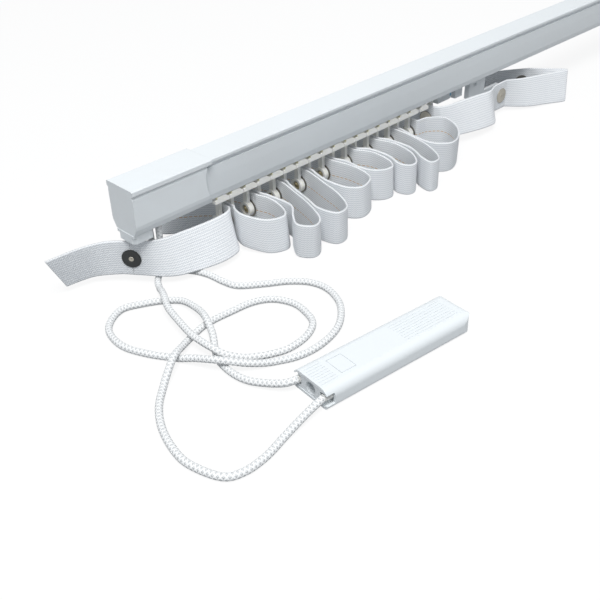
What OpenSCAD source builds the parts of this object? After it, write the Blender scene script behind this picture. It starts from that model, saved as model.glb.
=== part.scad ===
// Corded curtain track with a stack of snap-tape carriers and a cord weight.
// The track runs along X. Shapes are drawn with the track's left gap at X = 0,
// its centreline at Y = 0 and its top face at Z = 0, and place() then stands
// the whole on the surface that the folded tape rests on.

/* [Track] */
// Length of the aluminium profile
track_len = 662; // [560:1:900]
// Width over the top flange
track_w = 20.3; // [19.5:0.1:22]
// Height of the profile
track_h = 27; // [26:0.5:30]
// Width of the side walls just under the bracket groove
side_w = 18.9; // [18.5:0.1:19.3]
// Width of the profile at its foot
foot_w = 15.6; // [15:0.1:16.4]
// Wall of the profile
track_wall = 1.2; // [1:0.1:1.3]
// Thickness of the top flange over the bracket groove
flange_t = 2.2; // [1.8:0.1:2.6]
// Height of the bracket groove
groove_h = 2.8; // [2.4:0.1:3.2]
// Depth of the bracket groove below the flange edge
groove_in = 1.8; // [1:0.1:2]
// Depth of the upper hollow, down to the web
web_drop = 9.5; // [9:0.1:10]
// Width of the runner slot
slot_w = 6.4; // [6:0.1:7]

/* [Cord] */
// Diameter of the braided cord
cord_d = 4; // [3.5:0.1:4.2]
// Distance from the centreline to each inner cord run
run_half = 4.6; // [4.5:0.05:4.7]
// Depth of the cord runs below the top face
run_drop = 13; // [12.9:0.05:13.2]
// Gap between a cord and what guides it
cord_gap = 0.3; // [0.25:0.05:0.4]

/* [Sheaves] */
// Pitch radius of the two drive sheaves
drive_r = 5.5; // [5.3:0.1:5.8]
// Width of each sheave
sheave_w = 5.6; // [5.4:0.1:5.8]
// Height of the flange beyond the pitch circle
sheave_rim = 1.9; // [1.6:0.1:2]
// Diameter of the sheave pins
pin_d = 3; // [2.5:0.1:3.2]
// Running clearance of a bore on its pin, on the radius
pin_gap = 0.05; // [0.03:0.01:0.08]

/* [End caps] */
// Length of the drive end cap
cap_len = 56.8; // [54:0.2:60]
// Width of the caps over their lips
cap_w = 24.2; // [23.8:0.1:25]
// Thickness of the cap's top over the track
cap_top = 0.8; // [0.6:0.1:1.2]
// Clearance between a cap and the track
cap_gap = 0.1; // [0.05:0.01:0.15]
// Thickness of the cap's floor and end wall
cap_wall = 1.1; // [1:0.1:1.3]
// Length of track that each cap covers
cap_cover = 23; // [20:0.5:24]
// Length of the return end cap
return_len = 42; // [40:0.5:50]

/* [Carriers] */
// Pitch of the closed stack
pitch = 11.45; // [11.2:0.05:12]
// Gap between two closed carriers
carrier_gap = 0.3; // [0.25:0.05:0.5]
// Width of a carrier's runner inside the track
runner_w = 12.6; // [11.5:0.1:13]
// Height of the runner
runner_h = 3.2; // [2.8:0.1:3.6]
// Width of the interlocking block below the track
block_w = 15.4; // [14:0.1:16]
// Height of the interlocking block
block_h = 4.4; // [4:0.1:4.8]
// Place of the snap rings, right of the middle of their carrier
ring_shift = 1.85; // [1.6:0.05:2.1]
// How far the folded tape pushes the rings of two neighbours together
ring_spread = 0.75; // [0.5:0.05:0.75]
// Outer diameter of the snap ring
ring_d = 9.8; // [9.4:0.1:10.4]
// Thickness of the snap ring
ring_t = 3.8; // [3.5:0.1:4]
// Bore of the snap ring
ring_bore = 6.2; // [5.8:0.1:6.4]
// Depth of the snap line below the track's top face
snap_drop = 49; // [48:0.5:51]

/* [Snaps] */
// Diameter of the snap caps and washers
cap_disc_d = 12; // [11:0.1:12.4]
// Thickness of the washer between ring and tape
washer_t = 0.6; // [0.5:0.05:0.7]
// Height of the cap with its rivet head
dome_h = 0.8; // [0.6:0.05:0.85]
// Diameter of the stud that clicks into the ring
stud_d = 4.4; // [4:0.1:4.8]

/* [Tape] */
// Height of the woven tape
tape_h = 22.5; // [21:0.5:24]
// Thickness of the tape
tape_t = 1.3; // [1.1:0.1:1.4]
// How far the tips of the loops sag below the snap line
tip_dip = 4.25; // [4.2:0.05:4.6]

/* [Cord weight] */
// Length of the cord weight
weight_len = 103; // [99:1:120]
// Width of the cord weight
weight_w = 26.6; // [26.6:0.1:28]
// Height of the cord weight
weight_h = 11.5; // [11.3:0.1:12]
// Wall of the weight's shell
weight_wall = 1.5; // [1.4:0.1:1.6]
// Radius of the upper long edges
weight_edge = 5; // [4:0.1:5.2]
// Diameter of the steel ballast rod
ballast_d = 7; // [6:0.1:7.2]
// Length of the ballast rod
ballast_len = 52; // [40:1:54]

/* [Hidden] */
$fn = 48;

plastic = "white";
resin = "ivory";
metal = "gainsboro";
steel = "silver";
dark = "dimgray";
cloth = "whitesmoke";
rope = "linen";

cord_r = cord_d / 2;
pin_r = pin_d / 2;
tiny = 0.01;

// Places along the track
cap_right = -3.1;
cap_left = cap_right - cap_len;
track_left = cap_right - cap_cover;
track_right = track_left + track_len;
return_left = track_right - cap_cover + 4;
return_right = return_left + return_len;
drive_leg_x = -40.7;
drive_x = drive_leg_x + drive_r;
drive_z = -run_drop - drive_r;
return_x = track_right + run_half + sheave_rim + 1.5;
leg_exit_z = -30;

// Stance of the whole
rest_drop = snap_drop + tape_h / 2 + tip_dip;
tail_end_x = -102;
loop_front_y = -56;
loop_back_y = 48;
origin_x = (tail_end_x + return_right) / 2;
origin_y = (loop_front_y + loop_back_y) / 2;

// Stack of carriers
count = 17;
block_top = -track_h - 0.4;
block_bottom = block_top - block_h;
runner_z = -track_h + track_wall + 0.2;
fit_gap = 0.05;
tape_off = ring_t / 2 + fit_gap + washer_t + fit_gap + tape_t / 2;
function carrier_x(k) = (k - 0.5) * pitch;
// The tape lies right of the ring of every odd carrier and left of every even one
function facing(k) = k % 2 == 1 ? 1 : -1;
function ring_x(k) = carrier_x(k) + ring_shift + facing(k) * ring_spread;

// The master carrier starts right of the last carrier
master_left = carrier_x(count) + pitch / 2 + 2;
master_right = master_left + 57;
master_ring_x = master_left + 21.4;
master_lift = 4.75;

// Snaps that don't hang from a carrier: place, direction and drop of each
fixed_at = [-57.2, 2.2];
fixed_turn = 216;
fixed_drop = -1.5;
lead_at = [302, -7.3];
lead_turn = -90;
lead_drop = 0.25;
hem_at = [344, 1];
hem_turn = 54.5;
hem_drop = 2.3;

module place() translate([-origin_x, -origin_y, rest_drop]) children();

// Runs an upright YZ section along X
module run_x(from, to)
    translate([from, 0, 0]) rotate([90, 0, 90])
        linear_extrude(height = to - from) children();

// A symmetrical section from the corners of its right half, top to bottom
module mirrored(half) polygon(concat(half,
    [for (i = [len(half) - 1 : -1 : 0]) [-half[i].x, half[i].y]]));

module cyl_y(r, from, to) translate([0, from, 0]) rotate([-90, 0, 0])
    cylinder(r = r, h = to - from);

module cyl_x(r, from, to) translate([from, 0, 0]) rotate([0, 90, 0])
    cylinder(r = r, h = to - from);

// Track

module track_outline() mirrored([[track_w / 2 - 0.6, 0], [track_w / 2, -0.6],
    [track_w / 2, -flange_t], [track_w / 2 - groove_in, -flange_t],
    [track_w / 2 - groove_in, -flange_t - groove_h],
    [side_w / 2, -flange_t - groove_h], [side_w / 2 - 0.1, -12],
    [side_w / 2 - 0.4, -18], [(side_w + foot_w) / 4 + 0.1, -23],
    [foot_w / 2, -track_h]]);

// Chamber with a keel between the cord runs and two lips that carry the runners
module runner_chamber() mirrored([[0.6, -run_drop - cord_r - 0.2],
    [0.6, -web_drop - track_wall], [side_w / 2 - track_wall, -web_drop - track_wall],
    [side_w / 2 - track_wall - 0.1, -12], [side_w / 2 - track_wall - 0.4, -18],
    [(side_w + foot_w) / 4 - track_wall + 0.1, -23],
    [foot_w / 2 - track_wall + 0.3, -track_h + track_wall],
    [slot_w / 2 + 0.8, -track_h + track_wall],
    [slot_w / 2 + 0.8, -track_h + track_wall + 0.15],
    [slot_w / 2, -track_h + track_wall + 0.15], [slot_w / 2, -track_h - 1]]);

module upper_hollow() mirrored([[track_w / 2 - groove_in - track_wall, -track_wall],
    [track_w / 2 - groove_in - track_wall, -flange_t - groove_h - track_wall],
    [side_w / 2 - track_wall, -flange_t - groove_h - track_wall],
    [side_w / 2 - track_wall, -web_drop]]);

module track_section() difference() {
    track_outline();
    runner_chamber();
    upper_hollow();
}

module track() color(metal) place()
    run_x(track_left, track_right) track_section();

// End caps

// Outer form of both caps, with a lip that carries on the track's flange
module cap_outline() mirrored([[cap_w / 2 - 0.7, cap_top], [cap_w / 2, cap_top - 0.6],
    [cap_w / 2, -flange_t], [cap_w / 2 - 1.1, -flange_t - 1],
    [cap_w / 2 - 0.7, -flange_t - groove_h], [cap_w / 2 - 0.7, -21.5],
    [cap_w / 2 - 1.2, -24], [cap_w / 2 - 2.1, -25.6], [cap_w / 2 - 3.6, -28.2]]);

// Hollow of both caps, which clears the track all round
module cap_hollow() mirrored([[track_w / 2 + cap_gap, cap_gap],
    [track_w / 2 + cap_gap, -flange_t - 0.2],
    [side_w / 2 + cap_gap + 0.3, -flange_t - 1.2],
    [side_w / 2 + cap_gap + 0.3, -22.5], [side_w / 2 + cap_gap - 0.1, -25],
    [foot_w / 2 + cap_gap + 0.3, -28.2 + cap_wall]]);

module thumb_edge(x, r) translate([x, 0, -12.5]) difference() {
    cyl_y(r, -cap_w, cap_w);
    translate([-2 * r, -cap_w - 1, 12.5 - flange_t])
        cube([4 * r, 2 * cap_w + 2, 2 * r]);
}

module drive_end_cap() color(plastic) place() difference() {
    run_x(cap_left, cap_right) cap_outline();
    run_x(cap_left + cap_wall + 0.5, cap_right + 1) cap_hollow();
    // Opening for the block's foot and the two cord legs
    translate([-57.4, -7.6, -30]) cube([22, 15.2, 4]);
    thumb_edge(cap_right + 20.4, 25);
}

module return_end_cap() color(plastic) place() difference() {
    run_x(return_left, return_right) cap_outline();
    run_x(return_left - 1, return_right - cap_wall - 0.5) cap_hollow();
    thumb_edge(return_left - 20.4, 25);
}

// Drive end

// Cheek or body of a block inside a cap, clear of the cap's hollow
module block_section(inset) mirrored([[side_w / 2 - inset, -0.4],
    [side_w / 2 - inset, -22.5], [side_w / 2 - inset - 0.8, -25],
    [foot_w / 2 - inset + 0.1, -26.9]]);

module ring_on_stem(top_z, stem_w) {
    difference() {
        union() {
            cyl_x(ring_d / 2, -ring_t / 2, ring_t / 2);
            translate([0.7 - ring_t / 2, -stem_w / 2, 0])
                cube([ring_t - 1.4, stem_w, top_z]);
        }
        cyl_x(ring_bore / 2, -ring_t, ring_t);
    }
}

sheave_room = [run_half - sheave_w / 2 - 0.4, run_half + sheave_w / 2 + 0.4];

module pulley_block() color(plastic) place() difference() {
    union() {
        run_x(cap_left + cap_wall + 0.7, track_left - 0.3) block_section(0.2);
        // Tongue that plugs into the track's upper hollow
        run_x(track_left - 1, track_left + 12)
            translate([-6.9, -web_drop + 0.15]) square([13.8, web_drop - track_wall - 0.3]);
        // Foot under the cap, and its neck through the cap's floor
        translate([-57, -6.4, -29]) cube([9.5, 12.8, 3]);
        foot();
        translate([fixed_ring_at().x, fixed_ring_at().y, -snap_drop - fixed_drop])
            rotate([0, 0, fixed_turn]) ring_on_stem(snap_drop + fixed_drop - 31, 4);
    }
    for (side = [-1, 1]) {
        // Pocket for one sheave, and the way out for its cord
        translate([drive_x - drive_r - sheave_rim - 0.6, side > 0 ? sheave_room[0] : -sheave_room[1],
            -30]) cube([60, sheave_room[1] - sheave_room[0], 30 - web_drop - 0.6]);
        translate([drive_leg_x, side * run_half, -35]) cylinder(r = cord_r + cord_gap, h = 20);
    }
    translate([drive_x, 0, drive_z]) cyl_y(pin_r, -8.7, 8.7);
    // Lightening pocket at the blind end
    translate([-56, -6.5, -23]) cube([9, 13, 19]);
}

// Flat foot with its lower left edges chamfered
module foot() difference() {
    translate([-60.3, -7.8, foot_bottom]) cube([13.2, 15.6, -28.3 - foot_bottom]);
    for (s = [-1, 1]) translate([-60.3, s * 7.8, foot_bottom - 1])
        rotate([0, 0, 45]) cube([3.2, 3.2, 10], center = true);
}

foot_bottom = block_bottom - 2.2;

function fixed_ring_at() = fixed_at - tape_off * [cos(fixed_turn), sin(fixed_turn)];

// Grooved sheave with its axis along Z, in its own frame
module sheave(pitch_r) rotate_extrude($fn = 64) difference() {
    translate([pin_r + pin_gap, -sheave_w / 2])
        square([pitch_r + sheave_rim - pin_r - pin_gap, sheave_w]);
    translate([pitch_r, 0]) circle(r = cord_r + cord_gap);
    translate([pitch_r, -cord_r - cord_gap]) square([9, 2 * (cord_r + cord_gap)]);
}

module drive_sheave(side) color(resin) place()
    translate([drive_x, side * run_half, drive_z]) rotate([90, 0, 0]) sheave(drive_r);

module drive_sheave_pin() color(steel) place()
    translate([drive_x, 0, drive_z]) cyl_y(pin_r, -8.7, 8.7);

// Return end

module return_block() color(plastic) place() difference() {
    union() {
        run_x(track_right + 0.3, return_right - cap_wall - 0.7) block_section(0.2);
        run_x(track_right - 12, track_right + 1)
            translate([-6.9, -web_drop + 0.15]) square([13.8, web_drop - track_wall - 0.3]);
    }
    translate([track_right - 1, -8.6, -run_drop - sheave_w / 2 - 0.4])
        cube([return_x - track_right + run_half + sheave_rim + 1.6, 17.2, sheave_w + 0.8]);
    translate([return_x, 0, -20]) cylinder(r = pin_r, h = 15);
}

module return_sheave() color(resin) place()
    translate([return_x, 0, -run_drop]) sheave(run_half);

module return_sheave_pin() color(steel) place()
    translate([return_x, 0, -20]) cylinder(r = pin_r, h = 15);

// Cords

// Quarter or half ring of cord, swept about Z from the X axis
module cord_bend(r, turn) rotate_extrude(angle = turn, $fn = 64)
    translate([r, 0]) circle(r = cord_r, $fn = 24);

module cord_track_run() color(rope) place() {
    for (side = [-1, 1]) {
        translate([drive_leg_x, side * run_half, leg_exit_z])
            cylinder(r = cord_r, h = drive_z - leg_exit_z, $fn = 24);
        translate([drive_x, side * run_half, drive_z]) rotate([90, 0, 0]) rotate([0, 0, 90])
            cord_bend(drive_r, 90);
        translate([0, side * run_half, -run_drop]) rotate([0, 90, 0])
            translate([0, 0, drive_x]) cylinder(r = cord_r, h = return_x - drive_x, $fn = 24);
    }
    translate([return_x, 0, -run_drop]) rotate([0, 0, -90]) cord_bend(run_half, 180);
}

// Free cord routes: X, Y and the height of the cord's centre over its lying height
lying_z = -rest_drop + cord_r;
exit_lift = leg_exit_z - lying_z;
weight_lift = weight_h / 2 - cord_r;
front_route = [[-40.7, -4.6, 32.5], [-40.8, -4.6, 22], [-41.5, -4.6, 12], [-44, -5.5, 4],
    [-49, -9, 0], [-53, -16, 0], [-57, -24, 3.4], [-60, -30, 4.6], [-66, -42, 4.6], [-70, -57, 4.6],
    [-73, -72, 4.6], [-73, -88, 4.6], [-70, -96, 2.5], [-62, -103, 0], [-53, -109, 0],
    [-42, -113, 0], [-28, -112, 0], [-17, -106, 0], [-12, -95, 0], [-11, -84, 0],
    [-16, -73, 0], [-26, -67, 0], [-40, -65, 0], [-56, -64, 0], [-69, -67, 0],
    [-81, -73, 2.4], [-91, -79, 4.6], [-100, -85, 2.6], [-108, -91, 0], [-118, -101, 0],
    [-126, -114, 0], [-131, -129, 0], [-132, -142, 0], [-127, -158, 0], [-118, -163, 0],
    [-105, -163, 0], [-90, -160, 0.5], [-75, -158, 2.4], [-62, -156.8, 3.75]];
rear_route = [[-40.7, 4.6, 32.5], [-40.7, 4.6, 22], [-40, 4, 12], [-37, 0, 4.5],
    [-32, -9, 0], [-27, -17, 0], [-24, -26, 0], [-23, -38, 0], [-20, -48, 0], [-8, -58, 0],
    [3, -66, 0], [11, -76, 0], [13, -88, 0], [8, -102, 0], [-2, -113, 0], [-14, -120, 0],
    [-30, -123, 0], [-44, -121, 0], [-56, -115, 0], [-67, -109, 2.4], [-77, -99, 4.6],
    [-83, -86, 2.4], [-88, -76, 0], [-96, -62, 0], [-101, -47, 0], [-99, -32, 0],
    [-92, -23, 0], [-81, -18, 0], [-70, -22, 0], [-59, -29, 0], [-53, -38, 1],
    [-54, -53, 3], [-58, -65, 4.6], [-63, -76, 2.4], [-69, -85, 0], [-74, -94, 0],
    [-76, -106, 0], [-75, -117, 0.4], [-70.5, -127, 1.4], [-65.5, -134.6, 2.8],
    [-59.8, -137.8, 3.75]];

function unit(v) = v / norm(v);
function heading(p, i) = let (last = len(p) - 1) unit(p[min(i + 1, last)] - p[max(i - 1, 0)]);

// A tube of round section swept along points, closed at both ends
module tube(points, first, final, r, sides) {
    n = len(points);
    rings = [for (i = [0 : n - 1])
        let (t = i == 0 ? first : i == n - 1 ? final : heading(points, i),
            u = unit(cross(abs(t.z) > 0.9 ? [0, 1, 0] : [0, 0, 1], t)), v = cross(t, u))
        for (k = [0 : sides - 1]) points[i] + r * (cos(360 * k / sides) * u
            + sin(360 * k / sides) * v)];
    sides_faces = [for (i = [0 : n - 2], k = [0 : sides - 1])
        let (a = i * sides + k, b = i * sides + (k + 1) % sides)
        each [[a, a + sides, b], [b, a + sides, b + sides]]];
    polyhedron(rings, concat(sides_faces, [[for (k = [0 : sides - 1]) k],
        [for (k = [sides - 1 : -1 : 0]) (n - 1) * sides + k]]), convexity = 6);
}

function lifted(route) = [for (p = route) [p.x, p.y, lying_z + p.z]];

module cord_leg_front() color(rope) place()
    tube(lifted(front_route), [0, 0, -1], weight_along(), cord_r, 8);

module cord_leg_rear() color(rope) place()
    tube(lifted(rear_route), [0, 0, -1], weight_along(), cord_r, 8);

// Cord weight, drawn along its own X from its near end

weight_at = [-60.9, -147.3];
weight_turn = -6.55;
weight_run = 9.6;
insert_len = 80;
weight_corner = 9;
weight_sheave_x = weight_len - weight_wall - weight_run - sheave_rim - 2;

function weight_along() = [cos(weight_turn), sin(weight_turn), 0];

module lay_weight() color_free_place() translate([weight_at.x, weight_at.y, -rest_drop])
    rotate([0, 0, weight_turn]) children();

module color_free_place() place() children();

// Rounded box section: a flat top that falls away in wide curves, and a small foot radius
module weight_section(grow) {
    w = weight_w / 2 - grow;
    for (s = [-1, 1]) {
        translate([s * (w - weight_edge), weight_h - weight_edge - grow]) circle(r = weight_edge);
        translate([s * (w - 2.5), 2.5 + grow]) circle(r = 2.5);
    }
    translate([-w + weight_edge, grow]) square([2 * (w - weight_edge), weight_h - 2 * grow]);
    translate([-w, 2.5 + grow])
        square([2 * w, weight_h - weight_edge - 2.5 - 2 * grow]);
    translate([-w + 2.5, grow]) square([2 * w - 5, 3]);
}

// Plan of the weight, with wide corners at its far end
module weight_plan(inset) {
    w = weight_w / 2 - inset;
    r = weight_corner - inset;
    translate([-2, -w]) square([weight_len - weight_corner + 2, 2 * w]);
    translate([weight_len - weight_corner - 1, r - w]) square([r + 1, 2 * (w - r)]);
    for (s = [-1, 1]) translate([weight_len - weight_corner, s * (w - r)]) circle(r = r);
}

// Side view of the weight, whose top falls away at the far end
module weight_side() {
    square([weight_len - weight_edge, weight_h]);
    square([weight_len, weight_h - weight_edge]);
    translate([weight_len - weight_edge, weight_h - weight_edge]) circle(r = weight_edge);
}

module weight_core() {
    w = weight_w / 2 - weight_wall;
    mirrored([[w - 0.6, weight_wall], [w, weight_wall + 0.6],
        [w, weight_h - weight_wall - 1.1], [w - 1.6, weight_h - weight_wall]]);
}

module weight_body() color(plastic) lay_weight() difference() {
    intersection() {
        run_x(0, weight_len) weight_section(0);
        linear_extrude(height = weight_h) weight_plan(0);
        translate([0, weight_w / 2, 0]) rotate([90, 0, 0])
            linear_extrude(height = weight_w) weight_side();
    }
    intersection() {
        run_x(-1, weight_len - weight_wall - 1.2) weight_core();
        linear_extrude(height = weight_h) weight_plan(weight_wall);
    }
    // Mouths at the near end, where the cords leave sideways
    for (s = [-1, 1]) translate([-1, s > 0 ? weight_w / 2 - 3 : -weight_w / 2 - 1, 2.6])
        cube([6, 4, weight_h - 5.4]);
    // Fine ribs on the flat top, near both ends
    for (y = [-7 : 2 : 7], span = [[1.5, 12], [58, weight_len - 8]])
        translate([span[0], y - 0.2, weight_h - 0.25]) cube([span[1] - span[0], 0.4, 1]);
    // Outline of the latch plate
    for (x = [15, 24.3]) translate([x, -6.2, weight_h - 0.3]) cube([0.3, 12.4, 1]);
    for (y = [-6.2, 5.9]) translate([15, y, weight_h - 0.3]) cube([9.5, 0.3, 1]);
    translate([weight_sheave_x, 0, weight_wall - 0.9])
        cylinder(r = pin_r, h = weight_h - 2 * weight_wall + 1.8);
}

module weight_insert() color(plastic) lay_weight() difference() {
    union() {
        translate([0.4, -weight_run + cord_r + cord_gap, weight_wall + 0.05])
            cube([insert_len, 2 * (weight_run - cord_r - cord_gap),
                weight_h - 2 * weight_wall - 0.1]);
        // Flanges above and below the two cord channels
        for (z = [weight_wall + 0.05, weight_h - weight_wall - 1.55])
            translate([0.4, -weight_run - 0.2, z]) cube([insert_len, 2 * weight_run + 0.4, 1.5]);
    }
    translate([0, 0, weight_h / 2]) cyl_x(ballast_d / 2, -1, 18 + ballast_len);
    // Hollow for the rim of the sheave
    translate([weight_sheave_x, 0, -1])
        cylinder(r = weight_run + sheave_rim + 0.4, h = weight_h + 2);
}

module ballast_rod() color(steel) lay_weight()
    translate([0, 0, weight_h / 2]) cyl_x(ballast_d / 2, 18, 18 + ballast_len);

module weight_sheave() color(resin) lay_weight()
    translate([weight_sheave_x, 0, weight_h / 2]) sheave(weight_run);

module weight_sheave_pin() color(steel) lay_weight()
    translate([weight_sheave_x, 0, weight_wall - 0.9])
        cylinder(r = pin_r, h = weight_h - 2 * weight_wall + 1.8);

module cord_weight_run() color(rope) lay_weight() translate([0, 0, weight_h / 2]) {
    for (s = [-1, 1]) translate([0, s * weight_run, 0]) rotate([0, 90, 0])
        cylinder(r = cord_r, h = weight_sheave_x, $fn = 24);
    translate([weight_sheave_x, 0, 0]) rotate([0, 0, -90]) cord_bend(weight_run, 180);
}

// Tape
// Each station of the tape is [top x, top y, bottom x, bottom y, drop].

loop_steps = 14;
snap_flat = 6.4;
// Each front loop: flare of its lower edge, then points from its middle, left leg first
front_loops = [
    [3, [-12, -10], [-13, -18], [-6, -29.5], [4, -33.4], [10, -32], [12.4, -25], [12.3, -15]],
    [0, [-8.2, -14], [-7, -31], [-14.5, -40.5], [-19, -49], [-12, -56], [-3.5, -52.5],
        [2.2, -38], [6.4, -20]],
    [0, [-12.2, -12.5], [-17, -33], [-19, -44], [-13.5, -55.2], [-3.5, -53.8], [2.6, -41],
        [5.4, -26], [8.2, -14]],
    [1, [-11.6, -13], [-13, -24], [-9, -36.5], [0, -42.6], [11, -40], [14.4, -33], [13.2, -20]],
    [1, [-7, -14], [-6, -25], [-1, -33], [7.5, -37.3], [14.5, -37], [17.3, -31], [15.9, -18]],
    [0, [-4.6, -14], [-2.6, -29], [-4.4, -39], [0.4, -45.4], [7.5, -44.8], [13.2, -36],
        [14.2, -20]],
    [0, [-6.6, -14], [-5.4, -32], [-9.8, -45], [-9, -53.2], [0, -52], [6.3, -38], [8.9, -20]],
    [-1, [-10.8, -12], [-12, -24], [-9, -36], [3, -43.4], [16, -40], [26, -29], [28, -17],
        [19, -8.6]]];
// Shape of each back loop: lean, belly, depth and squareness
back_loops = [[-14, 26, 40, 2.4], [-2, 14, 45, 2.8], [1, 15, 47, 2.8], [-1, 15, 44, 2.8],
    [1, 14, 46, 2.8], [-1, 15, 45, 2.8], [1, 14, 47, 2.8], [-1, 15, 44, 2.8],
    [2, 14, 46, 2.8]];

// Hand-laid stretches: the free tail, the band to the first carrier, and the lead
tail_rows = [[-102, 21, -91, 23, 0], [-82, 19, -76, 20, -0.5], [-69, 14.5, -68, 14.5, -1],
    [-61, 7.4, -61, 7.4, -1.5]];
band_rows = [[-53.4, -3, -53.4, -3, -1.5], [-47.5, -5.8, -46.5, -11.5, -1.1],
    [-41, -8.1, -40.5, -16.2, -0.7], [-32.5, -9, -32, -19.5, -0.4],
    [-11.2, -10.7, -11.7, -23.6, 0], [3, -10.6, 3.4, -21.5, 0], [9, -8.8, 9, -14.5, 0]];
lead_rows = [[217, -9.4, 218.5, -14, -4.6], [226, -11.8, 230, -20.5, -4],
    [243, -12, 247, -24, -3], [260, -12.5, 260, -25, -2], [273, -13.5, 271, -24, -1.2],
    [281, -12, 280, -18, -0.5], [288, -9, 287.5, -11.5, 0], [295.4, -7.3, 295.4, -7.3, 0.25]];
hem_rows = [[308.6, -7.3, 308.6, -7.3, 0.25], [324, -12.5, 325, -20, 1.8],
    [346, -18.5, 343, -27, 3], [370, -25, 359, -33, 4.25], [372, -23.5, 361, -31, 4.25],
    [369, -19, 358, -26, 4.25], [354, -6.2, 353, -5.5, 2.8], [349.2, -2.7, 349.2, -2.7, 2.3]];
return_rows = [[338.8, 4.7, 338.8, 4.7, 2.3], [325, 11, 325, 11, 1.5], [312, 14, 312, 14, 1],
    [301, 15.5, 301, 15.5, 0.5]];

function sgn_pow(v, p) = sign(v) * pow(abs(v), p);

// A point of a back loop, t going from snap to snap
function loop_at(xa, xb, shape, t) =
    let (p = 2 / shape[3], s = pow(sin(180 * t), p), c = sgn_pow(cos(180 * t), p),
        half = (xb - xa) / 2)
    [(xa + xb) / 2 + shape[0] * pow(s, 1.6) - (half + (shape[1] - half) * pow(s, 1.2)) * c,
        snap_flat + (shape[2] - snap_flat) * s, tip_dip * s * s];

function back_rows(xa, xb, shape, lift_b) = [for (i = [1 : loop_steps - 1])
    let (t = i / loop_steps, a = loop_at(xa, xb, shape, t)) [a.x, a.y, a.x, a.y, a.z - lift_b * t]];

// A front loop through its points, flat at both snaps, which the curve's ends only touch
function front_rows(xa, xb, shape) =
    let (n = len(shape) - 1, deep = -min([for (i = [1 : n]) shape[i].y]),
        points = [for (i = [1 : n]) let (p = shape[i], low = p.y * (1 + shape[0] / deep),
            share = max(0, (-p.y - snap_flat) / (deep - snap_flat)))
            [(xa + xb) / 2 + p.x, p.y, (xa + xb) / 2 + p.x, low, tip_dip * share * share]],
        curve = smooth_rows(concat([[xa, 0, xa, 0, 0], [xa, -snap_flat, xa, -snap_flat, 0]], points,
            [[xb, -snap_flat, xb, -snap_flat, 0], [xb, 0, xb, 0, 0]])))
    [for (i = [4 : len(curve) - 5]) curve[i]];

function snap_rows(x, side, lift) = [[x, side * snap_flat, x, side * snap_flat, -lift],
    [x, -side * snap_flat, x, -side * snap_flat, -lift]];

function tape_x(k) = (k > count ? master_ring_x : ring_x(k)) + facing(k) * tape_off;

stack_rows = [for (j = [0 : 8]) each concat(
    snap_rows(tape_x(2 * j + 1), -1, 0),
    back_rows(tape_x(2 * j + 1), tape_x(2 * j + 2), back_loops[j], j == 8 ? master_lift : 0),
    j == 8 ? snap_rows(tape_x(18), 1, master_lift)
        : concat(snap_rows(tape_x(2 * j + 2), 1, 0),
            front_rows(tape_x(2 * j + 2), tape_x(2 * j + 3), front_loops[j])))];

// Smooth curve through hand-laid rows, in three steps each
function smooth_rows(rows) = let (last = len(rows) - 1) [for (i = [0 : last]) each
    i == last ? [rows[last]] : [for (s = [0, 1 / 3, 2 / 3])
        let (a = rows[max(i - 1, 0)], b = rows[i], c = rows[i + 1], d = rows[min(i + 2, last)])
        b + 0.5 * s * (c - a) + s * s * (a - 2.5 * b + 2 * c - 0.5 * d)
            + s * s * s * (1.5 * (b - c) + 0.5 * (d - a))]];

tape_rows = concat(smooth_rows(tail_rows), smooth_rows(band_rows), stack_rows,
    smooth_rows(lead_rows), smooth_rows(hem_rows), smooth_rows(return_rows));

// Half the tape's thickness, square to the tape at one station
function across(rows, i, c) = let (last = len(rows) - 1, a = rows[max(i - 1, 0)],
    b = rows[min(i + 1, last)], t = unit([b[c] - a[c], b[c + 1] - a[c + 1]]))
    tape_t / 2 * [-t.y, t.x];

module tape() color(cloth) place() {
    n = len(tape_rows);
    points = [for (i = [0 : n - 1])
        let (r = tape_rows[i], u = across(tape_rows, i, 0), v = across(tape_rows, i, 2),
            z = tape_h / 2 - snap_drop - min(r[4], tip_dip))
        each [[r[0] + u.x, r[1] + u.y, z], [r[0] - u.x, r[1] - u.y, z],
            [r[2] - v.x, r[3] - v.y, z - tape_h], [r[2] + v.x, r[3] + v.y, z - tape_h]]];
    walls = [for (i = [0 : n - 2], k = [0 : 3])
        let (a = 4 * i + k, b = 4 * i + (k + 1) % 4) each [[a, b, a + 4], [b, b + 4, a + 4]]];
    polyhedron(points, concat(walls, [[3, 2, 1, 0],
        [4 * n - 4, 4 * n - 3, 4 * n - 2, 4 * n - 1]]), convexity = 10);
}

// Carriers and snaps

// Runner with round ends that rides inside the track
module runner(from, to) translate([0, 0, runner_z]) linear_extrude(height = runner_h)
    intersection() {
        translate([from, -runner_w / 2]) square([to - from, runner_w]);
        translate([(from + to) / 2, 0]) circle(r = norm([(to - from) / 2, runner_w / 2]) - 0.9);
    }

// Block below the track, notched where it meets its neighbours
module stack_block(from, to) difference() {
    translate([from, -block_w / 2, block_bottom]) cube([to - from, block_w, block_h]);
    for (s = [-1, 1]) {
        // Sloped notch at the right end and square notch at the left end
        translate([to, s * block_w / 2, block_top]) rotate([0, 34, 0])
            cube([7, 5, 3.6], center = true);
        translate([from, s * block_w / 2, block_top]) cube([2.6, 5, 4], center = true);
    }
}

module neck(from, to) translate([from, -slot_w / 2 + 0.6, block_top - 1])
    cube([to - from, slot_w - 1.2, runner_z - block_top + 1.5]);

module carrier(k) color(resin) place() translate([carrier_x(k), 0, 0]) {
    half = (pitch - carrier_gap) / 2;
    runner(-half, half);
    neck(-half + 1.5, half - 1.5);
    stack_block(-half, half);
    translate([ring_x(k) - carrier_x(k), 0, -snap_drop])
        ring_on_stem(snap_drop + block_bottom + 0.5, 3.6);
}

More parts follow.
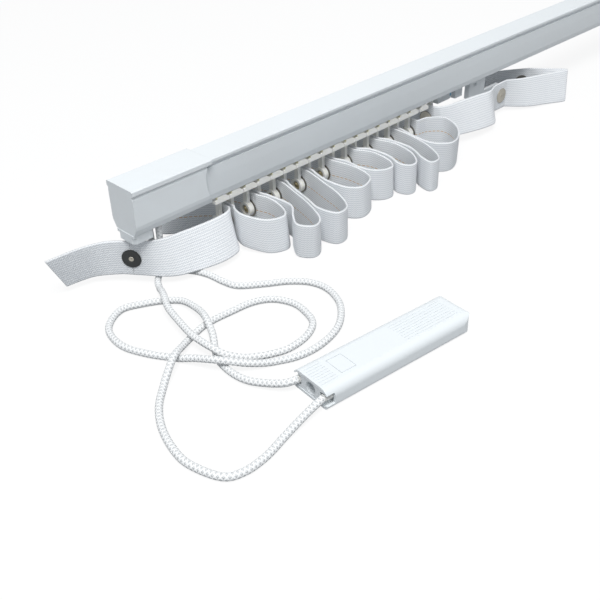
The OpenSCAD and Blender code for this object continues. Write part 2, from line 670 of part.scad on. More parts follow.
// Stud and washer on the ring's side of the tape, flat cap with a rivet on the other
module snap_pieces() {
    face = ring_t / 2 + fit_gap;
    cyl_x(stud_d / 2, 0.8 - ring_t / 2, face + tiny);
    cyl_x(stud_d / 2 + 0.5, -0.3, 0.5);
    cyl_x(cap_disc_d / 2, face, face + washer_t);
    translate([face + washer_t + tape_t + 2 * fit_gap, 0, 0]) rotate([0, 90, 0]) rotate_extrude()
        polygon([[0, 0], [cap_disc_d / 2, 0], [cap_disc_d / 2 - 0.1, 0.35],
            [cap_disc_d / 2 - 0.5, 0.5], [2.3, 0.5], [1.9, dome_h], [0, dome_h]]);
}

// The same turned to the side on which the tape lies
module snap_facing(side) {
    if (side > 0) snap_pieces();
    else mirror([1, 0, 0]) snap_pieces();
}

module snap(k) color(dark) place()
    translate([ring_x(k), 0, -snap_drop]) snap_facing(facing(k));

// Where a snap stands that holds the tape at a point, turned about Z
module snap_at(spot, turn, drop) translate([spot.x - tape_off * cos(turn),
    spot.y - tape_off * sin(turn), -snap_drop - drop]) rotate([0, 0, turn]) snap_pieces();

module fixed_snap() color(dark) place() snap_at(fixed_at, fixed_turn, fixed_drop);

module master_snap() color(dark) place()
    translate([master_ring_x, 0, -snap_drop + master_lift]) snap_facing(facing(count + 1));

module lead_snaps() color(dark) place() {
    snap_at(lead_at, lead_turn, lead_drop);
    snap_at(hem_at, hem_turn, hem_drop);
}

// Master carrier

master_neck_right = master_ring_x + ring_t / 2 + 0.1;
saddle_top = -run_drop - cord_r - cord_gap;
// Face of the saddle that the clamp plate lies on
clamp_y = -run_half - cord_r - cord_gap;

module master_carrier() color(resin) place() {
    runner(master_left, master_right);
    neck(master_left + 2, master_neck_right);
    stack_block(master_left, master_left + 9.5);
    // Saddle under the front cord run, and the upright behind it
    translate([master_left + 18, clamp_y, runner_z])
        cube([22, -1.6 - clamp_y, saddle_top - runner_z]);
    translate([master_left + 18, -run_half + cord_r + cord_gap, runner_z])
        cube([22, 0.9, -11.3 - runner_z]);
    translate([master_ring_x, 0, -snap_drop + master_lift])
        ring_on_stem(snap_drop - master_lift + block_top - 0.5, 3.6);
}

// Thickness of the arm's plates, and its screw hole
plate_t = 4.4;
screw_d = 2.4;

// Plate that presses the cord against the upright
module cord_clamp() color(plastic) place() {
    translate([master_left + 21, clamp_y - 0.6, saddle_top - 3]) cube([16, 0.6, 5.6]);
}

// Arm that reaches ahead of the master carrier and holds the leading edge. Its bar
// lies in the slot against the underside of the master's runner.
module lead_arm() color(plastic) place() {
    left = master_neck_right + 0.4;
    plate_left = left + 1.6;
    plate_right = plate_left + 13.6;
    hanger_left = plate_left + 40;
    hanger_w = 20.5;
    plate_y = -4;
    // The low arm stands just over the height at which the tape is held
    arm_bottom = -snap_drop + 4;
    hanger_bottom = arm_bottom + 3;
    translate([left, -slot_w / 2 + 0.6, block_top - 0.1])
        cube([hanger_left + hanger_w - left, slot_w - 1.2, runner_z - block_top + 0.1]);
    translate([plate_left, plate_y, -34]) cube([plate_right - plate_left, plate_t, 34 + block_top]);
    translate([plate_right, plate_y, -30.7]) rotate([-90, 0, 0])
        cylinder(r = 3.3, h = plate_t);
    translate([plate_right + 8, plate_y, -36]) cube([9, plate_t, 36 + block_top]);
    difference() {
        translate([hanger_left, plate_y, hanger_bottom])
            cube([hanger_w, plate_t, block_top - hanger_bottom]);
        translate([hanger_left + 8, 0, -32]) cyl_y(screw_d / 2, -6, 6);
    }
    // Low arm behind the tape, and the ring for its first snap
    translate([hanger_left + 15, plate_y, arm_bottom])
        cube([lead_at.x - hanger_left - 14.5, 2.8, 5]);
    translate([lead_at.x, lead_at.y + tape_off, -snap_drop - lead_drop])
        rotate([0, 0, lead_turn]) ring_on_stem(6, 4);
}

track();
drive_end_cap();
pulley_block();
drive_sheave(-1);  // drive_sheave_front
drive_sheave(1);  // drive_sheave_rear
drive_sheave_pin();
return_end_cap();
return_block();
return_sheave();
return_sheave_pin();
cord_track_run();
cord_leg_front();
cord_leg_rear();
cord_weight_run();
weight_body();
weight_insert();
weight_sheave();
weight_sheave_pin();
ballast_rod();
tape();
master_carrier();
cord_clamp();
lead_arm();
fixed_snap();
master_snap();
lead_snaps();
carrier(1);  // carrier_01
carrier(2);  // carrier_02
carrier(3);  // carrier_03
carrier(4);  // carrier_04
carrier(5);  // carrier_05
carrier(6);  // carrier_06
carrier(7);  // carrier_07
carrier(8);  // carrier_08
carrier(9);  // carrier_09
carrier(10);  // carrier_10
carrier(11);  // carrier_11
carrier(12);  // carrier_12
carrier(13);  // carrier_13
carrier(14);  // carrier_14
carrier(15);  // carrier_15
carrier(16);  // carrier_16
carrier(17);  // carrier_17
snap(1);  // snap_01
snap(2);  // snap_02
snap(3);  // snap_03
snap(4);  // snap_04
snap(5);  // snap_05
snap(6);  // snap_06
snap(7);  // snap_07
snap(8);  // snap_08
snap(9);  // snap_09
snap(10);  // snap_10
snap(11);  // snap_11
snap(12);  // snap_12
snap(13);  // snap_13
snap(14);  // snap_14
snap(15);  // snap_15
snap(16);  // snap_16
snap(17);  // snap_17
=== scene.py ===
"""Corded curtain track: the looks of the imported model, laid out as a Blender add-on and run as a script.

Sizes in this file are millimetres in the track's own frame, as the part's source uses them: X runs along the
track from the gap beside the drive end cap, Y is square to it and Z is up from the track's top face. The
function to_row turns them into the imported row's metres.
"""

import math

import bpy
import numpy as np
from bpy.props import FloatProperty, FloatVectorProperty, PointerProperty
from mathutils import Matrix


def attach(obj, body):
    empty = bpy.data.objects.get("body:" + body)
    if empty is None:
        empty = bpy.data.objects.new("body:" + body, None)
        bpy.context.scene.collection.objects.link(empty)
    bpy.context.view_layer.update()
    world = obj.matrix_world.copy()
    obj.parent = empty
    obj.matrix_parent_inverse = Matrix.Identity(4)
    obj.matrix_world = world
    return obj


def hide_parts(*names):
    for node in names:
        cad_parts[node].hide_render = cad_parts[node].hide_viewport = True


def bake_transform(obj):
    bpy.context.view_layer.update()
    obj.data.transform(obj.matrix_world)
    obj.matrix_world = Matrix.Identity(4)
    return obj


bl_info = {
    "name": "Corded curtain track",
    "version": (1, 0, 0),
    "blender": (4, 5, 0),
    "location": "View3D > Sidebar > Curtain track",
    "description": "Builds the tape, cords, press studs and finishes of a corded curtain track",
    "category": "Object",
}

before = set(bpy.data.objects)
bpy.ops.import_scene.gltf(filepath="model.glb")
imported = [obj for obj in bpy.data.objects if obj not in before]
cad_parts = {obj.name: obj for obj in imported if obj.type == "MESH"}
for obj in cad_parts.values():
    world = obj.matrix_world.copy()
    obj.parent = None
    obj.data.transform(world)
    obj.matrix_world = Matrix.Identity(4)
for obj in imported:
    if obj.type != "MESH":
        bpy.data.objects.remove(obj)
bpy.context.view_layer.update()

# Where the row's origin lies in the track's own frame
ROW_ORIGIN = np.array([278.45, -4.0, -64.5])

# Carriers, as in the part's source: the distance between two, their number and the top of their blocks. The
# master carrier has the next number, and each carrier moves by its number's share of the travel
PITCH = 11.45
COUNT = 17
BLOCK_TOP = -27.4
MASTER = COUNT + 1
# Tape, with the flat length on each side of a snap and how much lower the tips of the loops hang
TAPE_HEIGHT = 22.5
TAPE_THICK = 1.3
SNAP_FLAT = 6.4
TIP_DIP = 4.25
# Thickness of a ring and of a washer, the gap beside each, and from these how far the middle of the tape lies
# from the middle of its ring
RING_THICK = 3.8
WASHER_THICK = 0.6
FIT_GAP = 0.05
TAPE_OFF = RING_THICK / 2 + 2 * FIT_GAP + WASHER_THICK + TAPE_THICK / 2
# Depth of the snaps under the track's top, and where the rings lie past the middle of their blocks
SNAP_DROP = 49.0
RING_SHIFT = 1.85
RING_SPREAD = 0.75
# Place of the master carrier's ring, and how much higher it lies than the others
MASTER_RING_X = COUNT * PITCH + 2 + 21.4
MASTER_LIFT = 4.75
# The three snaps that no carrier holds: x, y, depth under the others and turn in degrees
FIXED_AT = (-57.2, 2.2, -1.5, 216.0)
LEAD_AT = (302.0, -7.3, 0.25, -90.0)
HEM_AT = (344.0, 1.0, 2.3, 54.5)
# Height of the middle of a cord that lies on the ground
LYING_Z = -62.5

# Webbing: distance and depth of its ribs, how far and how fast they zigzag, and the length of a row of quads.
# Whole zigzags are added to the length before it is wrapped
RIB = 1.5
RIB_DEPTH = 0.1
ZIGZAG = 0.75
ZIGZAG_STEP = 0.8
ZIGZAG_AHEAD = 800.0
ROW_STEP = 0.53
# Its selvedges: over how much height they are rounded, and how far they swell and wave with the zigzag
SELVEDGE = 0.6
SELVEDGE_SWELL = 0.06
SELVEDGE_WAVE = 0.12
# Its stitches: length, distance, half their width, and how far ahead of the tape's end they are counted from
STITCH_LONG = 2.1
STITCH_PITCH = 3.2
STITCH_HALF = 0.32
STITCH_AHEAD = 1000.0
# What the face with the stitches has added to its height in the UV map
MARKED_FACE = 100.0
# Braid: length of its wave along the cord and strands round it each way, a little coarse so that they show
BRAID = 2.4
STRANDS = 4

# Painted spot on the lead arm: x and z of its middle, and half its width and height
SPOT_AT = (237.6, -30.2)
SPOT_REACH = (0.9, 1.6)
# Painted olive shadow where two blocks overlap: how far before the joint each stripe begins, its length and
# half its height
JOINT_SHADOW_BEFORE = 1.4
JOINT_SHADOW_LONG = 3.4
JOINT_SHADOW_HIGH = 1.3


def to_row(points):
    """Millimetres in the track's frame to metres in the row's frame: subtract the origin, divide by 1000."""
    return (np.asarray(points, float) - ROW_ORIGIN) / 1000.0


def carrier_x(k):
    """Middle of a carrier along the track: its number less a half, times the pitch."""
    return (k - 0.5) * PITCH


# Colours and materials


def linear(colour):
    """An sRGB hex colour, or three sRGB shares, as linear RGBA: the standard curve, piece by piece."""
    if isinstance(colour, str):
        colour = [int(colour[i : i + 2], 16) / 255 for i in (1, 3, 5)]
    return tuple(c / 12.92 if c <= 0.04045 else ((c + 0.055) / 1.055) ** 2.4 for c in colour[:3]) + (1.0,)


def per_metre(size_mm):
    """A texture's scale from the real size of its grain: how many of them lie in a metre."""
    return 1000.0 / size_mm


def add(tree, kind, **settings):
    """Adds one node. A setting in0, in1 and so on, or one with a socket's name, gives that socket its value
    or the output that feeds it. Any other setting is a property of the node."""
    node = tree.nodes.new(kind)
    for name, value in settings.items():
        if name[:2] == "in" and name[2:].isdigit():
            socket = node.inputs[int(name[2:])]
        else:
            socket = next((s for s in node.inputs if s.name == name.replace("_", " ")), None)
        if socket is None:
            setattr(node, name, value)
        elif isinstance(value, bpy.types.NodeSocket):
            tree.links.new(value, socket)
        else:
            socket.default_value = value
    return node


def new_material(name, **shader):
    """A material with one Principled shader, whose sockets have the values given, and its tree and shader."""
    material = bpy.data.materials.new(name)
    material.use_nodes = True
    tree = material.node_tree
    tree.nodes.clear()
    surface = add(tree, "ShaderNodeBsdfPrincipled", **shader)
    add(tree, "ShaderNodeOutputMaterial", Surface=surface.outputs[0])
    return material, tree, surface


def bump_up(tree, surface, height, depth_mm, soft_mm=0.0):
    """Bump whose height socket stands for a real depth, over edges rounded by a soft bevel."""
    bump = add(tree, "ShaderNodeBump", Height=height, Distance=depth_mm / 1000.0, Strength=1.0)
    if soft_mm:
        bevel = add(tree, "ShaderNodeBevel", samples=4, Radius=soft_mm / 1000.0)
        tree.links.new(bevel.outputs[0], bump.inputs["Normal"])
    tree.links.new(bump.outputs[0], surface.inputs["Normal"])


def ripple(tree, distance, length, operation):
    """A wave between nought and one over a distance: one plus the sine or cosine of a full turn for each
    length, halved."""
    turns = add(tree, "ShaderNodeMath", operation="MULTIPLY", in0=distance, in1=2 * math.pi / length)
    wave = add(tree, "ShaderNodeMath", operation=operation, in0=turns.outputs[0])
    half = add(tree, "ShaderNodeMath", operation="MULTIPLY_ADD", in0=wave.outputs[0], in1=0.5, in2=0.5)
    return half.outputs[0]


def within_mm(tree, axis, middle, reach, soft=0.3):
    """One where a place along one of the row's axes lies within reach millimetres of a middle in metres, and
    nought outside, with an even slope from soft millimetres before that reach to soft past it."""
    place = add(tree, "ShaderNodeSeparateXYZ", in0=add(tree, "ShaderNodeTexCoord").outputs["Object"])
    away = add(tree, "ShaderNodeMath", operation="SUBTRACT", in0=place.outputs[axis], in1=float(middle))
    away = add(tree, "ShaderNodeMath", operation="ABSOLUTE", in0=away.outputs[0])
    share = add(tree, "ShaderNodeMapRange", Value=away.outputs[0], From_Min=(reach - soft) / 1000,
                From_Max=(reach + soft) / 1000, To_Min=1.0, To_Max=0.0)
    return share.outputs[0]


def paint_over(tree, share, colour):
    """Lays a colour over the base colour of a tree's shader, by a share."""
    base = tree.nodes["Principled BSDF"].inputs["Base Color"]
    painted = add(tree, "ShaderNodeMix", data_type="RGBA", in0=share, in6=base.links[0].from_socket,
                  in7=linear(colour))
    tree.links.new(painted.outputs[2], base)


def powder_coated_aluminium(colour):
    """White polyester powder coat on an extruded profile: an even, satin skin with a faint orange peel."""
    material, tree, surface = new_material("powder_coated_aluminium", Roughness=0.42, IOR=1.5)
    place = add(tree, "ShaderNodeTexCoord").outputs["Object"]
    peel = add(tree, "ShaderNodeTexNoise", Vector=place, Scale=per_metre(1.1), Detail=3.0)
    broad = add(tree, "ShaderNodeTexNoise", Vector=place, Scale=per_metre(45.0), Detail=1.0)
    tint = add(tree, "ShaderNodeMix", data_type="RGBA", in0=broad.outputs[0], in6=linear(colour),
               in7=linear("#E0E4E6"))
    tree.links.new(tint.outputs[2], surface.inputs["Base Color"])
    bump_up(tree, surface, peel.outputs[0], 0.02, 0.25)
    return material


def moulded_plastic(name, colour, shade, roughness, soft_mm, **shader):
    """Injection-moulded plastic: fine spark-eroded texture, soft edges and a slight unevenness of tone."""
    material, tree, surface = new_material(name, Roughness=roughness, IOR=1.48, **shader)
    place = add(tree, "ShaderNodeTexCoord").outputs["Object"]
    grain = add(tree, "ShaderNodeTexNoise", Vector=place, Scale=per_metre(0.5), Detail=2.0)
    broad = add(tree, "ShaderNodeTexNoise", Vector=place, Scale=per_metre(9.0), Detail=2.0)
    tint = add(tree, "ShaderNodeMix", data_type="RGBA", in0=broad.outputs[0], in6=linear(colour),
               in7=linear(shade))
    tree.links.new(tint.outputs[2], surface.inputs["Base Color"])
    bump_up(tree, surface, grain.outputs[0], 0.012, soft_mm)
    return material


def marked_plastic(colour, shade, mark):
    """The moulded plastic of the lead arm, with a small painted spot on its first plate."""
    material = moulded_plastic("moulded_abs_lead_arm", colour, shade, 0.38, 0.4)
    tree = material.node_tree
    x, _, z = to_row((SPOT_AT[0], 0, SPOT_AT[1]))
    spot = add(tree, "ShaderNodeMath", operation="MULTIPLY", in0=within_mm(tree, 0, x, SPOT_REACH[0]),
               in1=within_mm(tree, 2, z, SPOT_REACH[1]))
    paint_over(tree, spot.outputs[0], mark)
    return material


def acetal_with_joint_shadow(colour, shade, joint_shadow):
    """Natural acetal of the carriers, a little translucent. Where one block reaches into the next, just under
    the track, an olive shadow is painted into the joint: a short stripe once in every pitch."""
    material = moulded_plastic("moulded_acetal_natural", colour, shade, 0.42, 0.2, Subsurface_Weight=0.25,
                               Subsurface_Radius=(1.0, 1.0, 0.8), Subsurface_Scale=0.0015)
    tree = material.node_tree
    place = add(tree, "ShaderNodeSeparateXYZ", in0=add(tree, "ShaderNodeTexCoord").outputs["Object"])
    # Millimetres past the last joint between two blocks: the joints lie at whole pitches in the track's frame
    along = add(tree, "ShaderNodeMath", operation="MULTIPLY_ADD", in0=place.outputs[0], in1=1000.0,
                in2=float(ROW_ORIGIN[0]) + JOINT_SHADOW_BEFORE)
    past = add(tree, "ShaderNodeMath", operation="MODULO", in0=along.outputs[0], in1=PITCH)
    inside = add(tree, "ShaderNodeMath", operation="LESS_THAN", in0=past.outputs[0], in1=JOINT_SHADOW_LONG)
    high = within_mm(tree, 2, to_row((0, 0, BLOCK_TOP))[2], JOINT_SHADOW_HIGH)
    share = add(tree, "ShaderNodeMath", operation="MULTIPLY", in0=inside.outputs[0], in1=high)
    # Painted shadow: the olive stripe is laid over the base colour at each joint
    paint_over(tree, share.outputs[0], joint_shadow)
    return material


def ground_metal(name, colour, roughness):
    """Bare or plated metal, neutral to warm: fine marks of grinding and wear break up its reflections."""
    material, tree, surface = new_material(name, Metallic=1.0, Roughness=roughness)
    place = add(tree, "ShaderNodeTexCoord").outputs["Object"]
    marks = add(tree, "ShaderNodeTexNoise", Vector=place, Scale=per_metre(0.35), Detail=3.0)
    tint = add(tree, "ShaderNodeMix", data_type="RGBA", in0=marks.outputs[0], in6=linear(colour),
               in7=linear("#8E8B84"))
    tree.links.new(tint.outputs[2], surface.inputs["Base Color"])
    bump_up(tree, surface, marks.outputs[0], 0.01)
    return material


def woven_webbing(colour, groove_shade, thread):
    """White polyester webbing with zigzag ribs over its height and painted shade in their grooves, soft enough
    that light comes through it.
    One face carries a row of golden stitches along its middle. UV: u is millimetres along the tape, v
    millimetres up it, and the face with the stitches has MARKED_FACE added to its v."""
    material, tree, surface = new_material("woven_webbing", Roughness=0.85, IOR=1.45, Subsurface_Weight=0.5,
                                           Subsurface_Radius=(1.0, 1.0, 1.0), Subsurface_Scale=0.0012,
                                           Sheen_Weight=0.15, Sheen_Roughness=0.5)
    uv = add(tree, "ShaderNodeUVMap", uv_map="UVMap")
    u, v = add(tree, "ShaderNodeSeparateXYZ", in0=uv.outputs[0]).outputs[:2]
    place = add(tree, "ShaderNodeTexCoord").outputs["Object"]

    # Ribs: a cosine over the height, moved up and down by a triangle wave along the tape
    ahead = add(tree, "ShaderNodeMath", operation="ADD", in0=u, in1=ZIGZAG_AHEAD)
    zigzag = add(tree, "ShaderNodeMath", operation="PINGPONG", in0=ahead.outputs[0], in1=ZIGZAG_STEP)
    height = add(tree, "ShaderNodeMath", operation="MULTIPLY_ADD", in0=zigzag.outputs[0],
                 in1=ZIGZAG / ZIGZAG_STEP, in2=v)
    rib = ripple(tree, height.outputs[0], RIB, "COSINE")
    # Painted shade: the grooves between the ribs are coloured darker, most where the threads dive under each
    # other, once in every step of the zigzag
    knot = add(tree, "ShaderNodeMath", operation="MULTIPLY_ADD", in0=ripple(tree, u, ZIGZAG_STEP, "SINE"),
               in1=0.55, in2=0.45)
    deep = add(tree, "ShaderNodeMath", operation="SUBTRACT", in0=1.0, in1=rib)
    deep = add(tree, "ShaderNodeMath", operation="MULTIPLY", in0=deep.outputs[0], in1=knot.outputs[0])
    base = add(tree, "ShaderNodeMix", data_type="RGBA", in0=deep.outputs[0], in6=linear(colour),
               in7=linear(groove_shade))
    # A faint, broad unevenness of the cloth
    broad = add(tree, "ShaderNodeTexNoise", Vector=place, Scale=per_metre(25.0), Detail=2.0)
    broad = add(tree, "ShaderNodeMath", operation="MULTIPLY", in0=broad.outputs[0], in1=0.3)
    base = add(tree, "ShaderNodeMix", data_type="RGBA", in0=broad.outputs[0], in6=base.outputs[2],
               in7=linear("#E9ECEF"))

    # Stitches, at the middle of the marked face
    middle = MARKED_FACE + TAPE_HEIGHT / 2
    away = add(tree, "ShaderNodeMath", operation="SUBTRACT", in0=v, in1=middle)
    away = add(tree, "ShaderNodeMath", operation="ABSOLUTE", in0=away.outputs[0])
    near = add(tree, "ShaderNodeMath", operation="LESS_THAN", in0=away.outputs[0], in1=STITCH_HALF)
    along = add(tree, "ShaderNodeMath", operation="ADD", in0=u, in1=STITCH_AHEAD)
    along = add(tree, "ShaderNodeMath", operation="MODULO", in0=along.outputs[0], in1=STITCH_PITCH)
    along = add(tree, "ShaderNodeMath", operation="LESS_THAN", in0=along.outputs[0], in1=STITCH_LONG)
    stitch = add(tree, "ShaderNodeMath", operation="MULTIPLY", in0=near.outputs[0], in1=along.outputs[0])
    share = add(tree, "ShaderNodeMath", operation="MULTIPLY", in0=stitch.outputs[0], in1=0.75)
    base = add(tree, "ShaderNodeMix", data_type="RGBA", in0=share.outputs[0], in6=base.outputs[2],
               in7=linear(thread))
    tree.links.new(base.outputs[2], surface.inputs["Base Color"])

    # Ribs, with a little fuzz on them, and stitches a little higher still
    fuzz = add(tree, "ShaderNodeTexNoise", Vector=place, Scale=per_metre(0.5), Detail=3.0)
    height = add(tree, "ShaderNodeMath", operation="MULTIPLY_ADD", in0=fuzz.outputs[0], in1=0.2, in2=rib)
    height = add(tree, "ShaderNodeMath", operation="MULTIPLY_ADD", in0=stitch.outputs[0], in1=1.2,
                 in2=height.outputs[0])
    bump_up(tree, surface, height.outputs[0], 0.10)
    return material


def braided_cord(colour, shade):
    """White polyester braid over a core: strands that wind round it in both directions, with painted shade in
    the
    gaps between them. UV: u is millimetres along, v turns round the cord."""
    material, tree, surface = new_material("braided_polyester_cord", Roughness=0.7, IOR=1.46, Sheen_Weight=0.2)
    uv = add(tree, "ShaderNodeUVMap", uv_map="UVMap")
    u, v = add(tree, "ShaderNodeSeparateXYZ", in0=uv.outputs[0]).outputs[:2]
    waves = []
    for hand in (1.0, -1.0):
        turn = add(tree, "ShaderNodeMath", operation="MULTIPLY", in0=v, in1=hand * STRANDS)
        run = add(tree, "ShaderNodeMath", operation="MULTIPLY_ADD", in0=u, in1=1 / BRAID, in2=turn.outputs[0])
        turns = add(tree, "ShaderNodeMath", operation="MULTIPLY", in0=run.outputs[0], in1=2 * math.pi)
        waves.append(add(tree, "ShaderNodeMath", operation="SINE", in0=turns.outputs[0]).outputs[0])
    weave = add(tree, "ShaderNodeMath", operation="MAXIMUM", in0=waves[0], in1=waves[1])
    share = add(tree, "ShaderNodeMapRange", Value=weave.outputs[0], From_Min=-0.5, From_Max=0.7)
    place = add(tree, "ShaderNodeTexCoord").outputs["Object"]
    threads = add(tree, "ShaderNodeTexNoise", Vector=place, Scale=per_metre(0.45), Detail=2.0)
    # Painted shade: the gaps between the strands take the shade colour
    tint = add(tree, "ShaderNodeMix", data_type="RGBA", in0=share.outputs[0], in6=linear(shade),
               in7=linear(colour))
    tint = add(tree, "ShaderNodeMix", data_type="RGBA", in0=threads.outputs[0], in6=tint.outputs[2],
               in7=linear("#EDEEEE"))
    tree.links.new(tint.outputs[2], surface.inputs["Base Color"])
    bump_up(tree, surface, share.outputs[0], 0.3)
    return material


def seen_directly(tree):
    """One for camera, glossy and transmission rays, which show the background, and nought for all others."""
    rays = add(tree, "ShaderNodeLightPath").outputs
    seen = add(tree, "ShaderNodeMath", operation="MAXIMUM", in0=rays["Is Camera Ray"],
               in1=rays["Is Glossy Ray"])
    seen = add(tree, "ShaderNodeMath", operation="MAXIMUM", in0=seen.outputs[0],
               in1=rays["Is Transmission Ray"])
    return seen.outputs[0]


def placed(side, up, back, at):
    """The matrix of an object whose own X, Y and Z point along side, up and back, at a place in metres."""
    turn = np.stack([side, up, back], 1)
    return Matrix([[*map(float, row), float(p)] for row, p in zip(turn, at)] + [[0, 0, 0, 1]])


# Meshes


def grid_quads(rows, columns, closed_rows=False, closed_columns=False):
    """Quads of a grid of rows times columns points, numbered row by row, wrapped round where closed."""
    i, j = np.meshgrid(np.arange(rows if closed_rows else rows - 1),
                       np.arange(columns if closed_columns else columns - 1), indexing="ij")
    i, j = i.ravel(), j.ravel()
    i2, j2 = (i + 1) % rows, (j + 1) % columns
    return np.stack([i * columns + j, i * columns + j2, i2 * columns + j2, i2 * columns + j], 1)


def put_mesh(name, verts, quads, uvs=None, caps=(), materials=(), slots=None, smooth=True):
    """A mesh object from whole arrays. verts are in the row frame, uvs one pair for each corner of each quad,
    caps extra polygons, and slots a material number for each quad."""
    mesh = bpy.data.meshes.new(name)
    corners = np.concatenate([quads.ravel(), *[np.asarray(c) for c in caps]]).astype(np.int32)
    sizes = np.concatenate([np.full(len(quads), 4), [len(c) for c in caps]]).astype(np.int32)
    mesh.vertices.add(len(verts))
    mesh.vertices.foreach_set("co", np.asarray(verts, np.float32).ravel())
    mesh.loops.add(len(corners))
    mesh.loops.foreach_set("vertex_index", corners)
    mesh.polygons.add(len(sizes))
    mesh.polygons.foreach_set("loop_start", np.concatenate([[0], np.cumsum(sizes)[:-1]]).astype(np.int32))
    if uvs is not None:
        layer = mesh.uv_layers.new(name="UVMap")
        full = np.zeros((len(corners), 2), np.float32)
        full[: len(uvs)] = uvs
        layer.data.foreach_set("uv", full.ravel())
    for material in materials:
        mesh.materials.append(material)
    if slots is not None:
        full = np.zeros(len(sizes), np.int32)
        full[: len(slots)] = slots
        mesh.polygons.foreach_set("material_index", full)
    mesh.update(calc_edges=True)
    mesh.validate()
    mesh.polygons.foreach_set("use_smooth", np.full(len(mesh.polygons), smooth))
    mesh.update()
    piece = bpy.data.objects.new(name, mesh)
    bpy.context.scene.collection.objects.link(piece)
    return piece


def smooth_path(points, steps, closed=False):
    """A Catmull-Rom curve through points: in each span, the cubic whose end slopes are half the chord between
    the two neighbours. steps points for each span, and the last point once."""
    p = np.asarray(points, float)
    last = len(p) - 1
    a, b = p[np.maximum(np.arange(last) - 1, 0)], p[:-1]
    c, d = p[1:], p[np.minimum(np.arange(last) + 2, last)]
    s = (np.arange(steps) / steps)[None, :, None]
    a, b, c, d = (x[:, None, :] for x in (a, b, c, d))
    out = b + 0.5 * s * (c - a) + s**2 * (a - 2.5 * b + 2 * c - 0.5 * d)
    out = out + s**3 * (1.5 * (b - c) + 0.5 * (d - a))
    return np.concatenate([out.reshape(-1, p.shape[1]), p[-1:]])


def tangents(p):
    """Unit directions along a line of points: each from the point before to the point after."""
    t = np.gradient(p, axis=0)
    return t / np.linalg.norm(t, axis=1, keepdims=True)


# Tape

# Front loops, as in the part's source: how much deeper the lower edge lies, then points from the middle of
# the two snaps, the left leg first
FRONT_LOOPS = [
    (3, (-12, -10), (-13, -18), (-6, -29.5), (4, -33.4), (10, -32), (12.4, -25), (12.3, -15)),
    (0, (-8.2, -14), (-7, -31), (-14.5, -40.5), (-19, -49), (-12, -56), (-3.5, -52.5), (2.2, -38),
     (6.4, -20)),
    (0, (-12.2, -12.5), (-17, -33), (-19, -44), (-13.5, -55.2), (-3.5, -53.8), (2.6, -41), (5.4, -26),
     (8.2, -14)),
    (1, (-11.6, -13), (-13, -24), (-9, -36.5), (0, -42.6), (11, -40), (14.4, -33), (13.2, -20)),
    (1, (-7, -14), (-6, -25), (-1, -33), (7.5, -37.3), (14.5, -37), (17.3, -31), (15.9, -18)),
    (0, (-4.6, -14), (-2.6, -29), (-4.4, -39), (0.4, -45.4), (7.5, -44.8), (13.2, -36), (14.2, -20)),
    (0, (-6.6, -14), (-5.4, -32), (-9.8, -45), (-9, -53.2), (0, -52), (6.3, -38), (8.9, -20)),
    (-1, (-10.8, -12), (-12, -24), (-9, -36), (3, -43.4), (16, -40), (26, -29), (28, -17), (19, -8.6)),
]
# Back loops: lean, belly, depth and squareness
BACK_LOOPS = [(-14, 26, 40, 2.4), (-2, 14, 45, 2.8), (1, 15, 47, 2.8), (-1, 15, 44, 2.8), (1, 14, 46, 2.8),
              (-1, 15, 45, 2.8), (1, 14, 47, 2.8), (-1, 15, 44, 2.8), (2, 14, 46, 2.8)]
# Listed stretches: top x, top y, bottom x, bottom y and drop of each station
TAIL = [(-102, 21, -91, 23, 0), (-82, 19, -76, 20, -0.5), (-69, 14.5, -68, 14.5, -1),
        (-61, 7.4, -61, 7.4, -1.5)]
BAND = [(-53.4, -3, -53.4, -3, -1.5), (-47.5, -5.8, -46.5, -11.5, -1.1), (-41, -8.1, -40.5, -16.2, -0.7),
        (-32.5, -9, -32, -19.5, -0.4), (-11.2, -10.7, -11.7, -23.6, 0), (3, -10.6, 3.4, -21.5, 0),
        (9, -8.8, 9, -14.5, 0)]
LEAD = [(217, -9.4, 218.5, -14, -4.6), (226, -11.8, 230, -20.5, -4), (243, -12, 247, -24, -3),
        (260, -12.5, 260, -25, -2), (273, -13.5, 271, -24, -1.2), (281, -12, 280, -18, -0.5),
        (288, -9, 287.5, -11.5, 0), (295.4, -7.3, 295.4, -7.3, 0.25)]
HEM = [(308.6, -7.3, 308.6, -7.3, 0.25), (324, -12.5, 325, -20, 1.8), (346, -18.5, 343, -27, 3),
       (370, -25, 359, -33, 4.25), (372, -23.5, 361, -31, 4.25), (369, -19, 358, -26, 4.25),
       (354, -6.2, 353, -5.5, 2.8), (349.2, -2.7, 349.2, -2.7, 2.3)]
TURNED = [(338.8, 4.7, 338.8, 4.7, 2.3), (325, 11, 325, 11, 1.5), (312, 14, 312, 14, 1),
          (301, 15.5, 301, 15.5, 0.5)]


def facing(k):
    """Side of its ring on which a carrier holds the tape: the far side on odd carriers, the near one on
    even."""
    return 1 if k % 2 else -1


def ring_x(k):
    """Middle of a carrier's ring along the track: a little past the block's middle, odd ones further."""
    return MASTER_RING_X if k > COUNT else carrier_x(k) + RING_SHIFT + facing(k) * RING_SPREAD


def tape_x(k):
    """Place of the tape at a carrier's snap along the track, off the ring on the side that the carrier
    faces."""
    return ring_x(k) + facing(k) * TAPE_OFF


def back_loop(xa, xb, shape, lift_b, count=56):
    """Rows of a back loop: depth is a power of sin(pi t), and x swings from one snap to the other as the
    same power of cos(pi t), widened by the belly and pushed over by the lean. The stations crowd towards
    the snaps."""
    lean, belly, depth, square = shape
    t = np.linspace(0, 1, count)
    t = t - 0.35 * np.sin(2 * np.pi * t) / (2 * np.pi)
    power, half = 2 / square, (xb - xa) / 2
    s = np.maximum(np.sin(np.pi * t), 0) ** power
    c = np.sign(np.cos(np.pi * t)) * np.abs(np.cos(np.pi * t)) ** power
    x = (xa + xb) / 2 + lean * s**1.6 - (half + (belly - half) * s**1.2) * c
    y = SNAP_FLAT + (depth - SNAP_FLAT) * s
    return np.stack([x, y, x, y, TIP_DIP * s * s - lift_b * t], 1)


